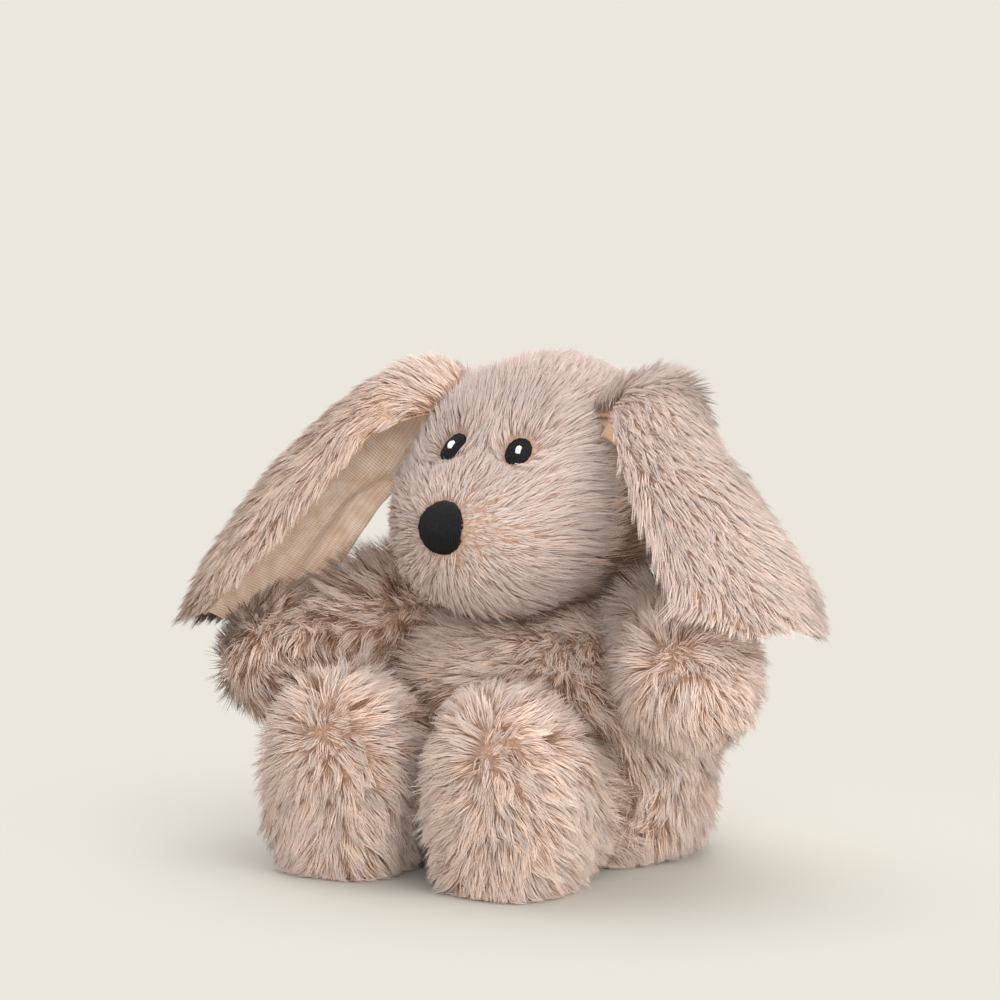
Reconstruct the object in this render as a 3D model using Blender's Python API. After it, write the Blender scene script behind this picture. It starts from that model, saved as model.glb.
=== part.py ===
"""A seated plush dog, sewn from stuffed covers that hinge at their seams.

Each soft piece is lofted through a few oval cross-sections, so that it swells and tapers. A cover is
a thin shell round its stuffing, open where it is sewn on. Limbs are round at the root and sit in
sockets that leave room for their swing.

Units are metres and +Z is up. The dog faces -Y, its left side is +X, and the origin is on the floor
in the middle of its seat.
"""

import math
from collections import namedtuple

import bmesh
import bpy
import numpy as np
from mathutils import Matrix, Vector
from mathutils.bvhtree import BVHTree

MM = 0.001

# Cloth thicknesses and clearances
COVER = 3.0 * MM
EAR_PLUSH = 4.0 * MM
EAR_LINING = 1.2 * MM
GAP = 0.5 * MM
SOCKET_GAP = 2.0 * MM
BAG_TOP = 40.0 * MM

# Neck: a firm ball of stuffing on which the head turns and nods
NECK_CENTRE = Vector((0.0, 4.0, 95.0)) * MM
NECK_RADIUS = 25.0 * MM

# Cross-sections: centre x, y, z, then half-width and half-height above and below, in millimetres.
# The torso is cut level, from the seat to the neck, so its heights are its front and back depths.
Section = namedtuple("Section", "x y z wide up down")
TORSO = [
    Section(0, 2, -8, 0, 0, 0),
    Section(0, 2, 4, 56, 47, 47),
    Section(0, 1, 22, 66, 55, 53),
    Section(0, 0, 42, 68, 58, 53),
    Section(0, 0, 66, 66, 57, 50),
    Section(0, 1, 85, 59, 50, 43),
    Section(0, 3, 97, 42, 34, 31),
    Section(0, 4, 103, 0, 0, 0),
]
# The head is cut upright, from the back of the skull to the muzzle.
HEAD = [
    Section(0, 48, 160, 0, 0, 0),
    Section(0, 37, 160, 32, 32, 32),
    Section(0, 14, 159, 47, 45, 46),
    Section(0, -10, 157, 49, 46, 47),
    Section(0, -34, 151, 47, 39, 42),
    Section(0, -54, 144, 40, 26, 34),
    Section(0, -71, 142, 29, 17, 26),
    Section(0, -83, 143, 0, 0, 0),
]
# A leg is cut upright, from the hip to the sole of the raised foot, this far to its side.
LEG = [
    Section(0, -14, 33, 0, 0, 0),
    Section(0, -24, 33, 19, 19, 19),
    Section(0, -42, 34, 22, 23, 28),
    Section(0, -60, 37, 25, 29, 42),
    Section(0, -78, 41, 29, 38, 54),
    Section(0, -99, 41, 29, 38, 54),
    Section(0, -109, 38, 0, 0, 0),
]
LEG_OUT = {"left": 34.0, "right": 45.0}
HIP = Vector((0.0, -38.0, 33.0)) * MM

# An arm runs straight from the shoulder: distance along it, half-width, half-height above and below
ARM = [(-21, 0, 0, 0), (0, 22, 22, 22), (34, 23, 23, 23), (75, 23, 23, 23), (98, 0, 0, 0)]
SHOULDER = Vector((56.0, 8.0, 91.0)) * MM
ARM_REACH = {"left": Vector((0.57, -0.82, -0.07)), "right": Vector((0.60, -0.78, -0.17))}
ARM_RISE = Vector((-0.25, -0.55, 0.8))

TAIL = [(-11, 0, 0, 0), (0, 11, 11, 11), (16, 11, 11, 11), (32, 0, 0, 0)]
TAIL_ROOT = Vector((0.0, 50.0, 26.0)) * MM
TAIL_REACH = Vector((0.0, 0.86, 0.5))

# Ears: the middle line of each ear from root to tip, as on the left side, the direction of its seam, and
# along that line the half-width of the cloth and the half-angle that it is cupped by
EAR_LINE = {
    "left": np.array([(39, -7, 190), (53, -11, 196), (88, -31, 172), (131, -48, 130), (146, -55, 112)]) * MM,
    "right": np.array([(39, -7, 190), (61, -15, 195), (98, -34, 164), (128, -47, 122), (139, -56, 96)]) * MM,
}
EAR_SEAM = Vector((4.0, 39.0, 5.0)).normalized()
EAR_WIDTH = {
    "left": np.array([19.0, 22.0, 28.0, 36.0, 33.0]) * MM,
    "right": np.array([19.0, 31.0, 41.0, 43.0, 35.0]) * MM,
}
EAR_CUP = np.array([0.25, 0.85, 1.15, 1.1, 0.9])
EAR_GROOVE = 5.5 * MM
# The tip narrows like the end of an oval, from here on along the ear and by this share
EAR_ROUND_FROM = 0.80
EAR_ROUND_BY = 0.85
EAR_GRID = (11, 7)

# Joint ranges in degrees, which the sockets leave room for,
# and how far behind its pivot each limb is sewn on
ARM_RANGE = (-12, 15)
LEG_RANGE = (0, 20)
TAIL_RANGE = (-25, 25)
ARM_SEAM = 10.0 * MM
LEG_SEAM = 11.0 * MM
TAIL_SEAM = 6.0 * MM
SOCKET_STEPS = 3
SOCKET_DEPTH = 44.0 * MM

# Rings along each form and corners round it; what is inside a cover is coarser
TORSO_MESH, TORSO_INSIDE = (9, 22), (7, 16)
HEAD_MESH, HEAD_INSIDE = (13, 22), (8, 16)
ARM_MESH, LEG_MESH, TAIL_MESH = (9, 14), (11, 16), (6, 12)
FEWER_RINGS, FEWER_SIDES = 2, 4
NECK_MESH = (14, 8)

# Embroidery: half-width, half-height and thickness; its edge is thinner by this share
NOSE_SIZE = (9.5 * MM, 10.5 * MM, 3.6 * MM)
NOSE_AIM = Vector((0.0, -95.0, 143.5)) * MM
EYE_SIZE = (5.0 * MM, 6.0 * MM, 1.6 * MM)
EYE_AIM = Vector((15.3, -48.0, 170.8)) * MM
EYE_LOOK = Vector((0.16, -0.72, 0.5))
GLINT_SIZE = (1.4 * MM, 1.8 * MM, 0.9 * MM)
GLINT_SHIFT = Vector((0.9, 0.0, -0.2)) * MM
EDGE_THINNER = 0.7
PAD_ROWS = (1.0, 0.6)
SIGHT = 40.0 * MM

X, Y, Z = Vector((1, 0, 0)), Vector((0, 1, 0)), Vector((0, 0, 1))
SIDES = {"left": 1, "right": -1}

# Colour, roughness
FINISHES = {
    "plush": ((0.42, 0.30, 0.23), 0.9),
    "stuffing": ((0.85, 0.84, 0.80), 1.0),
    "bean_bag": ((0.66, 0.60, 0.50), 0.9),
    "lining": ((0.45, 0.32, 0.20), 0.85),
    "black_thread": ((0.012, 0.011, 0.011), 0.6),
    "white_thread": ((0.85, 0.85, 0.82), 0.6),
}


def clear_scene():
    for thing in list(bpy.data.objects):
        bpy.data.objects.remove(thing, do_unlink=True)


def finish(name):
    """The material for one finish, made once."""
    if name in bpy.data.materials:
        return bpy.data.materials[name]
    material = bpy.data.materials.new(name)
    material.use_nodes = True
    shader = material.node_tree.nodes["Principled BSDF"]
    colour, roughness = FINISHES[name]
    shader.inputs["Base Color"].default_value = (*colour, 1.0)
    shader.inputs["Roughness"].default_value = roughness
    shader.inputs["Metallic"].default_value = 0.0
    return material


def add_body(name, pivot, parent=None):
    """An empty on a body's joint axis, which carries that body's pieces."""
    empty = bpy.data.objects.new(name, None)
    bpy.context.collection.objects.link(empty)
    empty["pivot"] = tuple(pivot)
    if parent:
        empty.parent = parent
        empty.location = Vector(pivot) - Vector(parent["pivot"])
    else:
        empty.location = pivot
    return empty


def add_object(name, bm, body, finish_name):
    """A mesh object with its origin on its body's joint axis."""
    bmesh.ops.recalc_face_normals(bm, faces=bm.faces)
    bmesh.ops.translate(bm, vec=-Vector(body["pivot"]), verts=bm.verts)
    mesh = bpy.data.meshes.new(name)
    bm.to_mesh(mesh)
    bm.free()
    mesh.shade_smooth()
    mesh.set_sharp_from_angle(angle=math.radians(50))
    thing = bpy.data.objects.new(name, mesh)
    bpy.context.collection.objects.link(thing)
    thing.parent = body
    if finish_name:
        mesh.materials.append(finish(finish_name))
    return thing


def add_cutter(name, bm, body):
    thing = add_object(name, bm, body, None)
    thing.hide_render = True
    thing.display_type = "WIRE"
    return thing


def cut(thing, *cutters):
    for cutter in cutters:
        boolean = thing.modifiers.new(cutter.name, "BOOLEAN")
        boolean.operation = "DIFFERENCE"
        boolean.solver = "EXACT"
        boolean.object = cutter


def smooth_through(keys, values, at):
    """Values on a smooth curve through the given ones, which doesn't overshoot between them."""
    step = np.diff(keys)[:, None]
    slope = np.diff(values, axis=0) / step
    same_way = slope[:-1] * slope[1:] > 0
    total = np.where(same_way, slope[:-1] + slope[1:], 1.0)
    inner = np.where(same_way, 2 * slope[:-1] * slope[1:] / total, 0.0)
    tangent = np.vstack([slope[:1], inner, slope[-1:]])
    i = np.clip(np.searchsorted(keys, at, side="right") - 1, 0, len(step) - 1)
    t = ((at - keys[i])[:, None]) / step[i]
    rise = values[i + 1] - values[i]
    start, end = tangent[i] * step[i], tangent[i + 1] * step[i]
    return values[i] + t * start + t**2 * (3 * rise - 2 * start - end) + t**3 * (start + end - 2 * rise)


def lofted(sections, mesh, across, upward):
    """A closed form through oval cross-sections, round at both ends, where they shrink to a point."""
    rings, sides = mesh
    table = np.array(sections, float) * MM
    centres, sizes = table[:, :3], table[:, 3:]
    keys = np.concatenate([[0.0], np.cumsum(np.linalg.norm(np.diff(centres, axis=0), axis=1))])
    share = (1 - np.cos(np.pi * np.arange(1, rings + 1) / (rings + 1))) / 2
    middle = smooth_through(keys, centres, share * keys[-1])
    # A size whose square grows evenly from nothing gives a round end.
    size = np.sqrt(smooth_through(keys, sizes**2, share * keys[-1]))
    turn = np.linspace(0, 2 * np.pi, sides, endpoint=False)
    bm = bmesh.new()
    loops = []
    for centre, (wide, up, down) in zip(middle, size):
        height = np.sin(turn) * np.where(np.sin(turn) > 0, up, down)
        points = centre + np.outer(np.cos(turn) * wide, across) + np.outer(height, upward)
        loops.append([bm.verts.new(p) for p in points])
    for low, high in zip(loops, loops[1:]):
        for k in range(sides):
            bm.faces.new((low[k - 1], low[k], high[k], high[k - 1]))
    for pole, loop in ((centres[0], loops[0]), (centres[-1], loops[-1])):
        tip = bm.verts.new(pole)
        for k in range(sides):
            bm.faces.new((loop[k - 1], loop[k], tip))
    bmesh.ops.recalc_face_normals(bm, faces=bm.faces)
    bmesh.ops.triangulate(bm, faces=bm.faces, quad_method="FIXED")
    return bm


def fatten(bm, depth):
    """Moves the whole surface outwards, or inwards for a negative depth."""
    bm.normal_update()
    for vert, normal in [(v, v.normal.copy()) for v in bm.verts]:
        vert.co += normal * depth
    return bm


def slice_off(bm, point, normal):
    """Cuts the form flat at a plane and keeps the side that the normal points to."""
    everything = bm.verts[:] + bm.edges[:] + bm.faces[:]
    bmesh.ops.bisect_plane(bm, geom=everything, dist=1e-7, plane_co=point, plane_no=normal, clear_inner=True)
    rim = [e for e in bm.edges if e.is_boundary]
    bmesh.ops.holes_fill(bm, edges=rim, sides=0)
    return bm


def straight_sections(table, root, reach):
    """Sections of a straight limb, spaced along its reach from the root."""
    reach = reach.normalized()
    return [Section(*(root / MM + reach * along), *sizes) for along, *sizes in table]


def limb_axes(reach):
    """The level and the upright direction of a straight limb's cross-sections."""
    across = reach.cross(Z).normalized()
    return across, across.cross(reach).normalized()


def sided(vector, side):
    return Vector((vector.x * side, vector.y, vector.z))


def swept_room(bm, limb):
    """The space that a limb's root sweeps: the hull of the root at even steps across its swing."""
    root = [v.co.copy() for v in bm.verts if (v.co - limb.pivot).dot(limb.reach) < SOCKET_DEPTH]
    bm.free()
    room = bmesh.new()
    for angle in np.radians(np.linspace(*limb.span, SOCKET_STEPS)):
        turn = Matrix.Rotation(angle, 3, limb.hinge)
        for point in root:
            room.verts.new(limb.pivot + turn @ (point - limb.pivot))
    hull = bmesh.ops.convex_hull(room, input=room.verts)
    bmesh.ops.delete(room, geom=hull["geom_interior"], context="VERTS")
    return room


Limb = namedtuple("Limb", "name sections axes pivot seam reach hinge span mesh")


def add_limb(limb, body, floor=None):
    """The cover and stuffing of one limb, both cut square where they are sewn to the torso."""
    seam = limb.pivot - limb.reach * limb.seam

    def form(mesh, inset):
        bm = fatten(lofted(limb.sections, mesh, *limb.axes), -inset)
        return bm if floor is None else slice_off(bm, Vector((0, 0, floor + inset)), Z)

    inside = (limb.mesh[0] - FEWER_RINGS, limb.mesh[1] - FEWER_SIDES)
    outer = slice_off(form(limb.mesh, 0.0), seam, limb.reach)
    cover = add_object(f"{limb.name}_cover", outer, body, "plush")
    cut(cover, add_cutter(f"{limb.name}_hollow", form(inside, COVER), body))
    fill = slice_off(form(inside, COVER + GAP), seam, limb.reach)
    add_object(f"{limb.name}_stuffing", fill, body, "stuffing")
    return fatten(lofted(limb.sections, inside, *limb.axes), SOCKET_GAP)


def arm(side_name):
    side = SIDES[side_name]
    reach = sided(ARM_REACH[side_name], side).normalized()
    pivot = sided(SHOULDER, side)
    hinge = reach.cross(sided(ARM_RISE, side)).normalized()
    sections = straight_sections(ARM, pivot, reach)
    axes = limb_axes(reach)
    return Limb(f"arm_{side_name}", sections, axes, pivot, ARM_SEAM, reach, hinge, ARM_RANGE, ARM_MESH)


def leg(side_name):
    side = SIDES[side_name]
    out = LEG_OUT[side_name] * side
    sections = [s._replace(x=out) for s in LEG]
    # A left leg splays outwards by turning anticlockwise about an axis that points up.
    hip = HIP + X * out * MM
    return Limb(f"leg_{side_name}", sections, (X, Z), hip, LEG_SEAM, -Y, Z * side, LEG_RANGE, LEG_MESH)


def tail():
    reach = TAIL_REACH.normalized()
    sections = straight_sections(TAIL, TAIL_ROOT, reach)
    axes = limb_axes(reach)
    return Limb("tail", sections, axes, TAIL_ROOT, TAIL_SEAM, reach, Z, TAIL_RANGE, TAIL_MESH)


def neck_ball(radius):
    bm = bmesh.new()
    segments, rings = NECK_MESH
    bmesh.ops.create_uvsphere(bm, u_segments=segments, v_segments=rings, radius=radius)
    bmesh.ops.translate(bm, vec=NECK_CENTRE, verts=bm.verts)
    return bm


def add_torso(body, cutters):
    """The cover, the fibre in the chest and the bag of beans in the seat."""

    def form(mesh, inset):
        bm = fatten(lofted(TORSO, mesh, X, -Y), -inset)
        return slice_off(bm, Vector((0, 0, inset)), Z)

    cover = add_object("torso_cover", form(TORSO_MESH, 0.0), body, "plush")
    cut(cover, add_cutter("torso_hollow", form(TORSO_INSIDE, COVER), body), *cutters)
    chest = slice_off(form(TORSO_INSIDE, COVER + GAP), Vector((0, 0, BAG_TOP + GAP)), Z)
    cut(add_object("chest_stuffing", chest, body, "stuffing"), *cutters)
    bag = slice_off(form(TORSO_INSIDE, COVER + GAP), Vector((0, 0, BAG_TOP)), -Z)
    cut(add_object("seat_bean_bag", bag, body, "bean_bag"), *cutters)


def ear_frame(side_name):
    """Where an ear is sewn on, and the direction of that seam."""
    side = SIDES[side_name]
    return sided(Vector(EAR_LINE[side_name][0]), side), sided(EAR_SEAM, side)


def ear_surface(side_name, along, across):
    """Points of an ear's middle surface and its outward normals, on a grid."""
    side = SIDES[side_name]
    line = EAR_LINE[side_name]
    keys = np.concatenate([[0.0], np.cumsum(np.linalg.norm(np.diff(line, axis=0), axis=1))])
    keys /= keys[-1]
    half = smooth_through(keys, EAR_WIDTH[side_name][:, None], along)[:, 0]
    end = np.clip((along - EAR_ROUND_FROM) / (1 - EAR_ROUND_FROM), 0, 1)
    half = half * np.sqrt(1 - EAR_ROUND_BY * end**2)
    cup = smooth_through(keys, EAR_CUP[:, None], along)[:, 0]
    middle = smooth_through(keys, line, along)
    tangent = np.gradient(middle, along, axis=0)
    tangent /= np.linalg.norm(tangent, axis=1)[:, None]
    seam = np.array(EAR_SEAM)
    level = seam - tangent * (tangent @ seam)[:, None]
    level /= np.linalg.norm(level, axis=1)[:, None]
    out = np.cross(tangent, level)
    turn = across[None, :] * cup[:, None]
    radius = (half / cup)[:, None, None]
    points = middle[:, None] + radius * (
        np.sin(turn)[:, :, None] * level[:, None] - (1 - np.cos(turn))[:, :, None] * out[:, None]
    )
    normals = np.sin(turn)[:, :, None] * level[:, None] + np.cos(turn)[:, :, None] * out[:, None]
    points[..., 0] *= side
    normals[..., 0] *= side
    return points, normals


def ear_sheet(side_name, inner, outer):
    """One cupped layer of an ear, between two distances from its middle surface."""
    along = np.linspace(0.0, 1.0, EAR_GRID[0])
    across = np.linspace(-1.0, 1.0, EAR_GRID[1])
    points, normals = ear_surface(side_name, along, across)
    bm = bmesh.new()
    low = [[bm.verts.new(p) for p in row] for row in points + normals * inner]
    high = [[bm.verts.new(p) for p in row] for row in points + normals * outer]
    for layer in (low, high):
        for near, far in zip(layer, layer[1:]):
            for k in range(1, len(near)):
                bm.faces.new((near[k - 1], near[k], far[k], far[k - 1]))
    rims = [(low[0], high[0]), (low[-1], high[-1])]
    rims += [([row[k] for row in low], [row[k] for row in high]) for k in (0, -1)]
    for near, far in rims:
        for k in range(1, len(near)):
            bm.faces.new((near[k - 1], near[k], far[k], far[k - 1]))
    return bm


def ear_groove(side_name):
    """The round seam channel in the head that an ear's root turns in."""
    root, seam = ear_frame(side_name)
    bm = bmesh.new()
    depth = EAR_WIDTH[side_name][0] * 2 + 4 * EAR_GROOVE
    bmesh.ops.create_cone(
        bm, cap_ends=True, segments=12, radius1=EAR_GROOVE, radius2=EAR_GROOVE, depth=depth
    )
    turn = seam.to_track_quat("Z", "X").to_matrix()
    bmesh.ops.rotate(bm, cent=(0, 0, 0), matrix=turn, verts=bm.verts)
    bmesh.ops.translate(bm, vec=root, verts=bm.verts)
    return bm


def stitched_pad(skin, aim, look, size, sides, lift):
    """An oval of close stitches on the skin: its back follows the skin and its front is domed."""
    half_wide, half_high, thick = size
    look = look.normalized()
    level = Z.cross(look).normalized()
    upright = look.cross(level)
    bm = bmesh.new()
    rows = []
    for share in PAD_ROWS:
        row = []
        for k in range(sides):
            angle = 2 * math.pi * k / sides
            spot = aim + level * (half_wide * share * math.cos(angle))
            spot += upright * (half_high * share * math.sin(angle))
            row.append((spot, share))
        rows.append(row)
    backs, fronts = [], []
    for row in rows + [[(aim, 0.0)]]:
        back, front = [], []
        for spot, share in row:
            hit = skin.ray_cast(spot + look * SIGHT, -look)[0]
            back.append(bm.verts.new(hit + look * lift))
            dome = thick * (1 - EDGE_THINNER * share**2)
            front.append(bm.verts.new(hit + look * (lift + dome)))
        backs.append(back)
        fronts.append(front)
    for layer in (backs, fronts):
        for k in range(sides):
            bm.faces.new((layer[0][k - 1], layer[0][k], layer[1][k], layer[1][k - 1]))
            bm.faces.new((layer[1][k - 1], layer[1][k], layer[2][0]))
    for k in range(sides):
        bm.faces.new((backs[0][k - 1], backs[0][k], fronts[0][k], fronts[0][k - 1]))
    bmesh.ops.recalc_face_normals(bm, faces=bm.faces)
    return bm


def add_head(body, neck_cutter):
    """The cover and stuffing of the head, and the embroidered face."""
    outer = lofted(HEAD, HEAD_MESH, X, Z)
    skin = BVHTree.FromBMesh(outer)
    grooves = [add_cutter(f"ear_{name}_groove", ear_groove(name), body) for name in SIDES]
    cover = add_object("head_cover", outer, body, "plush")
    hollow = add_cutter("head_hollow", fatten(lofted(HEAD, HEAD_INSIDE, X, Z), -COVER), body)
    cut(cover, hollow, neck_cutter, *grooves)
    fill = fatten(lofted(HEAD, HEAD_INSIDE, X, Z), -COVER - GAP)
    cut(add_object("head_stuffing", fill, body, "stuffing"), neck_cutter, *grooves)

    nose = stitched_pad(skin, NOSE_AIM, -Y, NOSE_SIZE, 16, 2 * GAP)
    add_object("nose", nose, body, "black_thread")
    for name, side in SIDES.items():
        look = sided(EYE_LOOK, side)
        aim = sided(EYE_AIM, side)
        eye = stitched_pad(skin, aim, look, EYE_SIZE, 14, GAP)
        front = BVHTree.FromBMesh(eye)
        add_object(f"eye_{name}", eye, body, "black_thread")
        glint = stitched_pad(front, aim + GLINT_SHIFT, look, GLINT_SIZE, 8, GAP)
        add_object(f"eye_glint_{name}", glint, body, "white_thread")


def build():
    clear_scene()
    torso = add_body("torso", (0, 0, 0))
    neck = add_body("neck", NECK_CENTRE, torso)
    head = add_body("head", NECK_CENTRE, neck)

    sockets = []
    for limb in [arm(s) for s in SIDES] + [leg(s) for s in SIDES] + [tail()]:
        body = add_body(limb.name, limb.pivot, torso)
        room = add_limb(limb, body, floor=0.0 if limb.name.startswith("leg") else None)
        sockets.append(add_cutter(f"{limb.name}_socket", swept_room(room, limb), torso))

    add_object("neck_stuffing", neck_ball(NECK_RADIUS), neck, "stuffing")
    neck_room = add_cutter("neck_socket", neck_ball(NECK_RADIUS + SOCKET_GAP), torso)
    add_torso(torso, [neck_room, *sockets])
    add_head(head, neck_room)

    for name in SIDES:
        ear = add_body(f"ear_{name}", ear_frame(name)[0], head)
        add_object(f"ear_{name}_fur", ear_sheet(name, GAP / 2, EAR_PLUSH), ear, "plush")
        add_object(f"ear_{name}_lining", ear_sheet(name, -EAR_LINING - GAP / 2, -GAP / 2), ear, "lining")


build()
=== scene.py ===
# %% [markdown]
# # A seated plush dog
# The toy is sewn from long-pile plush, lined at the ears with a tan ribbed cloth, and its face is
# embroidered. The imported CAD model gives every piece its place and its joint. Here each stuffed piece
# becomes a soft cloth form, and the pile is then grown on it as many thousands of tapered fibres. Hair
# particles would be quicker to set up, but they don't leave Blender as a mesh, so the fibres are faces.

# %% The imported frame
import math

import bpy
import numpy as np
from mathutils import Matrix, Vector
from mathutils.bvhtree import BVHTree
from mathutils.kdtree import KDTree


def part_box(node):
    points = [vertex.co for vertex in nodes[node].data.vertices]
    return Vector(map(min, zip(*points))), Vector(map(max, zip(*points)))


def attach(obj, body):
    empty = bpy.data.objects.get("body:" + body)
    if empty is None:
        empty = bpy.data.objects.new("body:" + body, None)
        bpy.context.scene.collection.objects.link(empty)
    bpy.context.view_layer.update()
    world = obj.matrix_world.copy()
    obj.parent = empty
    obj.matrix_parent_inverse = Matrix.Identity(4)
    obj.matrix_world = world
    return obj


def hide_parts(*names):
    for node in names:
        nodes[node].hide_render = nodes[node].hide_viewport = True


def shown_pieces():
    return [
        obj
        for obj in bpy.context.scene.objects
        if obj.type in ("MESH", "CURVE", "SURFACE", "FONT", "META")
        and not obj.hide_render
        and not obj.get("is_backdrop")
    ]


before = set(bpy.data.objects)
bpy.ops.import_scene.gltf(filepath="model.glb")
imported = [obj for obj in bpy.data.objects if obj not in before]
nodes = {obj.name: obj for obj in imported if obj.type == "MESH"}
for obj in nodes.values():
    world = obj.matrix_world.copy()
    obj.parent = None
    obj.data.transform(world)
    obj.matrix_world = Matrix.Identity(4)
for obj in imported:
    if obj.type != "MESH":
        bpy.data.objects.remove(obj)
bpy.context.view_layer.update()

MM = 0.001
SIDES = ("left", "right")

# %% [markdown]
# ## Camera
# The photograph looks slightly down at the dog, past its left cheek. Its ears and feet keep their
# proportions, so it was taken with a long lens from some way off. A constraint could point the camera at the
# dog. Here its two angles are written down instead, because they also give the directions to the camera's
# right, towards it and up, by which the lamps are placed.

# %% Camera
AZIMUTH, ELEVATION, DISTANCE = math.radians(33.0), math.radians(7.0), 1.9
LENS_MM, SENSOR_MM = 162.9, 36.0
RIGHT = Vector((math.cos(AZIMUTH), math.sin(AZIMUTH), 0.0))
BACK = Vector((
    math.sin(AZIMUTH) * math.cos(ELEVATION),
    -math.cos(AZIMUTH) * math.cos(ELEVATION),
    math.sin(ELEVATION),
))
UP = BACK.cross(RIGHT)
aim = RIGHT * -21.4 * MM + UP * 145.3 * MM
facing = (math.pi / 2 - ELEVATION, 0.0, AZIMUTH)
bpy.ops.object.select_all(action="DESELECT")
bpy.ops.object.camera_add(location=aim + BACK * DISTANCE, rotation=facing)
camera = bpy.context.object
camera.data.lens = LENS_MM
camera.data.sensor_width = SENSOR_MM
bpy.context.scene.camera = camera
print("camera at", [round(v, 3) for v in camera.location])

# %% [markdown]
# ## Colours and nodes
# A colour picked from a screen is in sRGB, and shaders work in linear light. Linear numbers could be typed
# in, but nobody can read them, so one function turns a hex value into a shader colour. A second function
# adds a node with its settings and its links, so that each material is a few lines that read in order.


# %% Colours and nodes
def linear(hex_colour):
    """A shader colour from an sRGB hex value."""
    parts = [int(hex_colour[i : i + 2], 16) / 255 for i in (1, 3, 5)]
    return [v / 12.92 if v <= 0.04045 else ((v + 0.055) / 1.055) ** 2.4 for v in parts] + [1.0]


def add_node(material, kind, links=(), values=(), stops=(), **settings):
    """A new node with its settings: links joins its inputs to other outputs, values sets inputs directly,
    and stops fills a colour ramp with (place, hex colour)."""
    node = material.node_tree.nodes.new(kind)
    for key, value in settings.items():
        setattr(node, key, value)
    for key, value in dict(values).items():
        node.inputs[key].default_value = value
    for key, source in dict(links).items():
        material.node_tree.links.new(source, node.inputs[key])
    for number, (place, colour) in enumerate(stops):
        elements = node.color_ramp.elements
        element = elements[number] if number < len(elements) else elements.new(place)
        element.position, element.color = place, linear(colour)
    return node


def new_material(name, roughness, **values):
    """A material and its Principled shader, with values set on the shader's sockets."""
    material = bpy.data.materials.new(name)
    material.use_nodes = True
    shader = material.node_tree.nodes["Principled BSDF"]
    shader.inputs["Roughness"].default_value = roughness
    for key, value in values.items():
        shader.inputs[key.replace("_", " ")].default_value = value
    return material, shader


# %% [markdown]
# ## Paper floor
# The photograph's pale ground runs into the wall with no edge between them. A plane with a backdrop behind it
# would do for one view. A round floor whose rim is extruded up and out in small steps gives every view the
# same ground. Near the dog the paper takes its light and shadow, and further off the camera sees one plain
# colour, so the light can stay at the level that suits the dog.

# %% Paper floor
PAPER, FAR_PAPER = "#c9c5bc", "#ebe7dd"
FLOOR_RADIUS, COVE_RADIUS = 2.4, 1.4
COVE_STEP = math.radians(10)
# The paper lies a hair below the seat, so that the two never share a face.
UNDER_SEAT = -0.0002
# How far from the dog the paper starts to turn plain, and where it is quite plain
PLAIN_FROM, PLAIN_AT = 0.10, 0.30
bpy.ops.object.select_all(action="DESELECT")
bpy.ops.mesh.primitive_circle_add(
    vertices=96, radius=FLOOR_RADIUS, fill_type="NGON", location=(0, 0, UNDER_SEAT)
)
floor = bpy.context.object
floor.name = "studio_floor"
bpy.ops.object.mode_set(mode="EDIT")
bpy.ops.mesh.select_mode(type="EDGE")
for step in range(1, 10):
    bend, before = step * COVE_STEP, (step - 1) * COVE_STEP
    rim, last_rim = (FLOOR_RADIUS + COVE_RADIUS * math.sin(angle) for angle in (bend, before))
    rise = COVE_RADIUS * (math.cos(before) - math.cos(bend))
    bpy.ops.mesh.extrude_edges_move(TRANSFORM_OT_translate={"value": (0, 0, rise)})
    bpy.ops.transform.resize(value=(rim / last_rim, rim / last_rim, 1), center_override=(0, 0, 0))
bpy.ops.object.mode_set(mode="OBJECT")
bpy.ops.object.transform_apply(location=True)
bpy.ops.object.shade_smooth_by_angle(angle=math.radians(30))

# Matt paper: no shine, a soft shadow under the dog, and a plain even tone further off.
paper, near_paper = new_material("matt_paper", 0.95, Base_Color=linear(PAPER), Specular_IOR_Level=0.1)
rays = add_node(paper, "ShaderNodeLightPath").outputs
seen = rays["Is Camera Ray"]
for kind in ("Is Glossy Ray", "Is Transmission Ray"):
    seen = add_node(paper, "ShaderNodeMath", {0: seen, 1: rays[kind]}, operation="ADD").outputs[0]
place = add_node(paper, "ShaderNodeTexCoord").outputs["Object"]
far = add_node(paper, "ShaderNodeVectorMath", {0: place}, operation="LENGTH").outputs["Value"]
reach = {"From Min": PLAIN_FROM, "From Max": PLAIN_AT}
far = add_node(paper, "ShaderNodeMapRange", {"Value": far}, reach, interpolation_type="SMOOTHSTEP").outputs[0]
share = add_node(paper, "ShaderNodeMath", {0: seen, 1: far}, operation="MULTIPLY").outputs[0]
plain = add_node(paper, "ShaderNodeEmission", values={"Color": linear(FAR_PAPER)}).outputs[0]
both = add_node(paper, "ShaderNodeMixShader", {0: share, 1: near_paper.outputs[0], 2: plain}).outputs[0]
paper.node_tree.links.new(both, paper.node_tree.nodes["Material Output"].inputs["Surface"])
floor.data.materials.append(paper)
floor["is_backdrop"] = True
print("paper floor, radius", FLOOR_RADIUS + COVE_RADIUS, "m")

# %% [markdown]
# ## Light
# The light in the photograph is soft and comes from the camera's right. Point lamps would draw a hard shadow
# behind every lock, so area lamps are used: a large one to the right, a smaller one close to the camera that
# lights the inside of the ear, and a wide one above and behind the dog, which brightens the edges of its
# pile. An even sky fills in the rest.

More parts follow.
